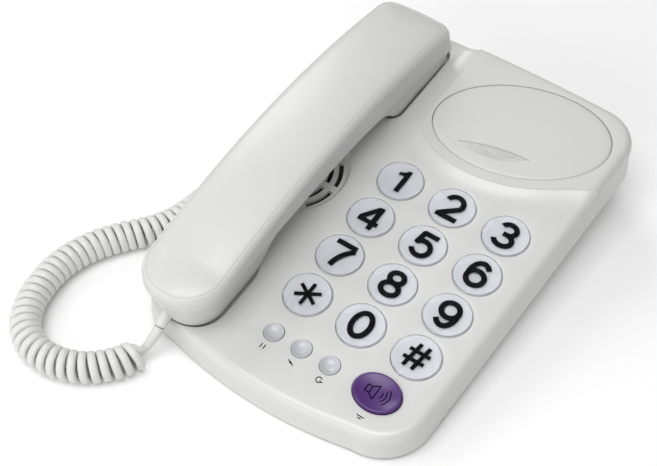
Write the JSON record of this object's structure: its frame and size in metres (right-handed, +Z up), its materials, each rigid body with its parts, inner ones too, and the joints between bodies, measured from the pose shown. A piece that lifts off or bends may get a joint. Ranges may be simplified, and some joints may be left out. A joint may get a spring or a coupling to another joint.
{
  "type": "corded desk telephone",
  "caption": "Off-white corded desk telephone with large round clear-capped keys, an oval panel, a straight handset in a cradle and a curly handset cord.",
  "frame": {"origin": "On the table under the middle of the telephone, cord aside.", "axes": "+X to the right as the keys are read, +Y to the back, +Z up; the telephone's long side runs along Y."},
  "size_m": [0.1942, 0.2611, 0.0667],
  "materials": {
    "shell_plastic": "smooth off-white moulded plastic, satin gloss",
    "handset_plastic": "smooth off-white moulded plastic, satin gloss",
    "panel_plastic": "off-white moulded plastic, satin",
    "clear_plastic": "clear polished plastic",
    "insert_plastic": "pale blue-grey plastic disc",
    "pearl_plastic": "pearl-white glossy plastic",
    "purple_plastic": "violet glossy plastic",
    "red_lamp": "small red lamp",
    "grey_rubber": "grey silicone rubber",
    "black_rubber": "black rubber",
    "black_plastic": "black moulded plastic",
    "board_brown": "brown laminate board",
    "dark_metal": "dark plated metal",
    "speaker_paper": "dark pressed paper cone",
    "plain_steel": "plain zinc-plated steel",
    "cord_vinyl": "soft white vinyl jacket"
  },
  "bodies": {
    "base": {"top_cover": "shell_plastic", "bottom_cover": "shell_plastic", "oval_panel": "panel_plastic", "ringer_lens": "clear_plastic", "ringer_lamp": "red_lamp", "keypad_mat": "grey_rubber", "rubber_domes": "grey_rubber", "main_board": "board_brown", "board_parts": "black_plastic", "speaker_frame": "dark_metal", "speaker_cone": "speaker_paper", "speaker_magnet": "dark_metal", "ballast_plate": "plain_steel", "line_jack": "black_plastic", "handset_jack": "black_plastic", "rubber_feet": "black_rubber", "housing_screws": "plain_steel", "board_screws": "plain_steel", "hook_spring": "plain_steel", "hook_switch": "black_plastic", "cord_tail": "cord_vinyl", "cord_coil": "cord_vinyl", "cord_lead": "cord_vinyl", "cord_plug": "clear_plastic"},
    "handset": {"handset_top": "handset_plastic", "handset_bottom": "handset_plastic", "receiver": "black_plastic", "microphone": "dark_metal", "handset_weight": "plain_steel", "handset_screws": "plain_steel", "cord_gland": "cord_vinyl"},
    "hook": {"hook_plunger": "panel_plastic"},
    "key_1_body": {"key_1": "insert_plastic", "key_cap_1": "clear_plastic"},
    "key_2_body": {"key_2": "insert_plastic", "key_cap_2": "clear_plastic"},
    "key_3_body": {"key_3": "insert_plastic", "key_cap_3": "clear_plastic"},
    "key_4_body": {"key_4": "insert_plastic", "key_cap_4": "clear_plastic"},
    "key_5_body": {"key_5": "insert_plastic", "key_cap_5": "clear_plastic"},
    "key_6_body": {"key_6": "insert_plastic", "key_cap_6": "clear_plastic"},
    "key_7_body": {"key_7": "insert_plastic", "key_cap_7": "clear_plastic"},
    "key_8_body": {"key_8": "insert_plastic", "key_cap_8": "clear_plastic"},
    "key_9_body": {"key_9": "insert_plastic", "key_cap_9": "clear_plastic"},
    "key_star_body": {"key_star": "insert_plastic", "key_cap_star": "clear_plastic"},
    "key_0_body": {"key_0": "insert_plastic", "key_cap_0": "clear_plastic"},
    "key_hash_body": {"key_hash": "insert_plastic", "key_cap_hash": "clear_plastic"},
    "hold_button_body": {"hold_button": "pearl_plastic"},
    "flash_button_body": {"flash_button": "pearl_plastic"},
    "redial_button_body": {"redial_button": "pearl_plastic"},
    "speaker_button_body": {"speaker_button": "purple_plastic"}
  },
  "joints": [
    {"name": "handset_lift", "type": "slide", "parent": "base", "child": "handset", "axis": [0, -0.1219, 0.9925], "range_m": [0, 0.06]},
    {"name": "hook_rise", "type": "slide", "parent": "base", "child": "hook", "axis": [0, -0.1219, 0.9925], "range_m": [0, 0.004], "stiffness_N_per_m": 60, "deforming": ["hook_spring"]},
    {"name": "key_1_press", "type": "slide", "parent": "base", "child": "key_1_body", "axis": [0, 0.1219, -0.9925], "range_m": [0, 0.0012], "stiffness_N_per_m": 600, "deforming": ["rubber_domes"]},
    {"name": "key_2_press", "type": "slide", "parent": "base", "child": "key_2_body", "axis": [0, 0.1219, -0.9925], "range_m": [0, 0.0012], "stiffness_N_per_m": 600, "deforming": ["rubber_domes"]},
    {"name": "key_3_press", "type": "slide", "parent": "base", "child": "key_3_body", "axis": [0, 0.1219, -0.9925], "range_m": [0, 0.0012], "stiffness_N_per_m": 600, "deforming": ["rubber_domes"]},
    {"name": "key_4_press", "type": "slide", "parent": "base", "child": "key_4_body", "axis": [0, 0.1219, -0.9925], "range_m": [0, 0.0012], "stiffness_N_per_m": 600, "deforming": ["rubber_domes"]},
    {"name": "key_5_press", "type": "slide", "parent": "base", "child": "key_5_body", "axis": [0, 0.1219, -0.9925], "range_m": [0, 0.0012], "stiffness_N_per_m": 600, "deforming": ["rubber_domes"]},
    {"name": "key_6_press", "type": "slide", "parent": "base", "child": "key_6_body", "axis": [0, 0.1219, -0.9925], "range_m": [0, 0.0012], "stiffness_N_per_m": 600, "deforming": ["rubber_domes"]},
    {"name": "key_7_press", "type": "slide", "parent": "base", "child": "key_7_body", "axis": [0, 0.1219, -0.9925], "range_m": [0, 0.0012], "stiffness_N_per_m": 600, "deforming": ["rubber_domes"]},
    {"name": "key_8_press", "type": "slide", "parent": "base", "child": "key_8_body", "axis": [0, 0.1219, -0.9925], "range_m": [0, 0.0012], "stiffness_N_per_m": 600, "deforming": ["rubber_domes"]},
    {"name": "key_9_press", "type": "slide", "parent": "base", "child": "key_9_body", "axis": [0, 0.1219, -0.9925], "range_m": [0, 0.0012], "stiffness_N_per_m": 600, "deforming": ["rubber_domes"]},
    {"name": "key_star_press", "type": "slide", "parent": "base", "child": "key_star_body", "axis": [0, 0.1219, -0.9925], "range_m": [0, 0.0012], "stiffness_N_per_m": 600, "deforming": ["rubber_domes"]},
    {"name": "key_0_press", "type": "slide", "parent": "base", "child": "key_0_body", "axis": [0, 0.1219, -0.9925], "range_m": [0, 0.0012], "stiffness_N_per_m": 600, "deforming": ["rubber_domes"]},
    {"name": "key_hash_press", "type": "slide", "parent": "base", "child": "key_hash_body", "axis": [0, 0.1219, -0.9925], "range_m": [0, 0.0012], "stiffness_N_per_m": 600, "deforming": ["rubber_domes"]},
    {"name": "hold_press", "type": "slide", "parent": "base", "child": "hold_button_body", "axis": [0, 0.1219, -0.9925], "range_m": [0, 0.0012], "stiffness_N_per_m": 400, "deforming": ["rubber_domes"]},
    {"name": "flash_press", "type": "slide", "parent": "base", "child": "flash_button_body", "axis": [0, 0.1219, -0.9925], "range_m": [0, 0.0012], "stiffness_N_per_m": 400, "deforming": ["rubber_domes"]},
    {"name": "redial_press", "type": "slide", "parent": "base", "child": "redial_button_body", "axis": [0, 0.1219, -0.9925], "range_m": [0, 0.0012], "stiffness_N_per_m": 400, "deforming": ["rubber_domes"]},
    {"name": "speaker_press", "type": "slide", "parent": "base", "child": "speaker_button_body", "axis": [0, 0.1219, -0.9925], "range_m": [0, 0.0012], "stiffness_N_per_m": 400, "deforming": ["rubber_domes"]}
  ],
  "couplings": [
    {"joint": "hook_rise", "follows": "handset_lift", "ratio": 0.066}
  ]
}
